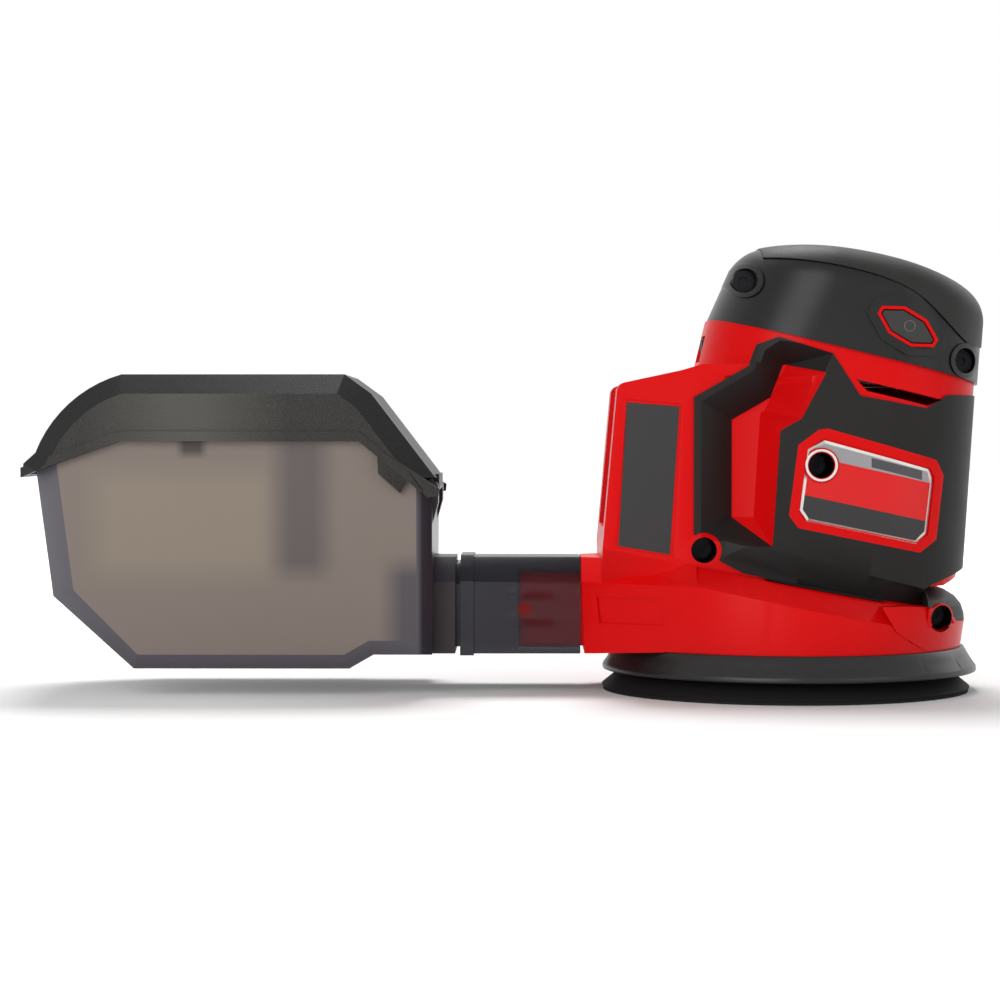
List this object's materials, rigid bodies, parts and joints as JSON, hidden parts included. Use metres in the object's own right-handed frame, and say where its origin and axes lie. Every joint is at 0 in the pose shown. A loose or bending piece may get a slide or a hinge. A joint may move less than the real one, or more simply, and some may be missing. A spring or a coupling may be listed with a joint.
{
  "type": "orbital sander",
  "caption": "Cordless palm-grip random-orbit sander with a round pad, battery foot, side push switch, speed dial and a clip-on smoky dust canister with a hinged lid.",
  "frame": {"origin": "centre of the pad's work face (the plane the tool stands on), with the pad at the rear of its orbit", "axes": "+X towards the front of the tool, -X along the dust canister, -Z out of the work face, +Z towards the palm; the right-hand side is -Y"},
  "size_m": [0.322, 0.127, 0.1499],
  "materials": {
    "housing_red": "satin moulded nylon",
    "grip_rubber": "soft matte overmould",
    "palm_rubber": "fine-textured soft rubber",
    "cap_plastic": "satin moulded plastic",
    "button_plastic": "satin moulded plastic",
    "black_plastic": "matte moulded plastic",
    "board_green": "circuit board",
    "contact_brass": "tinned contacts",
    "motor_steel": "drawn steel",
    "lamination_steel": "stacked laminations",
    "winding_copper": "enamelled copper wire",
    "bearing_steel": "ground steel",
    "screw_steel": "black-oxide steel",
    "shaft_steel": "ground steel",
    "magnet_grey": "bonded magnet",
    "fan_plastic": "glass-filled nylon",
    "skirt_rubber": "smooth rubber",
    "pad_foam": "closed-cell foam",
    "hook_fabric": "hook-and-loop face",
    "smoke_sleeve": "smoke-tinted clear plastic",
    "smoke_canister": "smoke-tinted frosted plastic",
    "smoke_lid": "dark smoke-tinted plastic",
    "filter_plastic": "moulded frame",
    "filter_paper": "pleated filter paper"
  },
  "bodies": {
    "tool": {"housing_left": "housing_red", "housing_right": "housing_red", "grip_left": "grip_rubber", "grip_right": "grip_rubber", "cap_left": "cap_plastic", "cap_right": "cap_plastic", "palm_pad": "palm_rubber", "switch_bezel_left": "housing_red", "switch_bezel_right": "housing_red", "switch_body": "black_plastic", "control_board": "board_green", "dial_pot": "black_plastic", "terminal_block": "black_plastic", "terminal_blades": "contact_brass", "motor_frame": "motor_steel", "stator_core": "lamination_steel", "stator_windings": "winding_copper", "lower_bearing": "bearing_steel", "upper_bearing": "bearing_steel", "brake_skirt": "skirt_rubber", "housing_screws": "screw_steel", "cap_screws": "screw_steel"},
    "rotor": {"motor_shaft": "shaft_steel", "rotor_core": "lamination_steel", "rotor_magnet": "magnet_grey", "fan": "fan_plastic", "counterweight": "shaft_steel", "pad_bearing": "bearing_steel"},
    "pad": {"pad_spindle": "shaft_steel", "pad_screw": "screw_steel", "pad_washer": "screw_steel", "pad_backing": "black_plastic", "pad_foam": "pad_foam", "hook_face": "hook_fabric"},
    "switch": {"switch_bar": "button_plastic"},
    "dial": {"speed_dial": "black_plastic"},
    "canister": {"coupling_sleeve": "smoke_sleeve", "canister_body": "smoke_canister", "lid_hinge_pin": "shaft_steel", "filter_frame": "filter_plastic", "filter_pleats": "filter_paper"},
    "lid": {"canister_lid": "smoke_lid"}
  },
  "joints": [
    {"name": "motor_spin", "type": "hinge", "parent": "tool", "child": "rotor", "pos_m": [0.0012, 0, 0.03], "axis": [0, 0, 1], "continuous": true},
    {"name": "pad_spin", "type": "hinge", "parent": "rotor", "child": "pad", "pos_m": [0, 0, 0.017], "axis": [0, 0, 1], "continuous": true},
    {"name": "switch_push", "type": "slide", "parent": "tool", "child": "switch", "axis": [0, -1, 0], "range_m": [0, 0.005]},
    {"name": "dial_turn", "type": "hinge", "parent": "tool", "child": "dial", "pos_m": [-0.01795, 0, 0.112], "axis": [0, 0, 1], "range_deg": [-135, 135]},
    {"name": "canister_pull", "type": "slide", "parent": "tool", "child": "canister", "axis": [-1, 0, 0], "range_m": [0, 0.03]},
    {"name": "lid_hinge", "type": "hinge", "parent": "canister", "child": "lid", "pos_m": [-0.1192, 0, 0.0694], "axis": [0, 1, 0], "range_deg": [0, 100]}
  ]
}
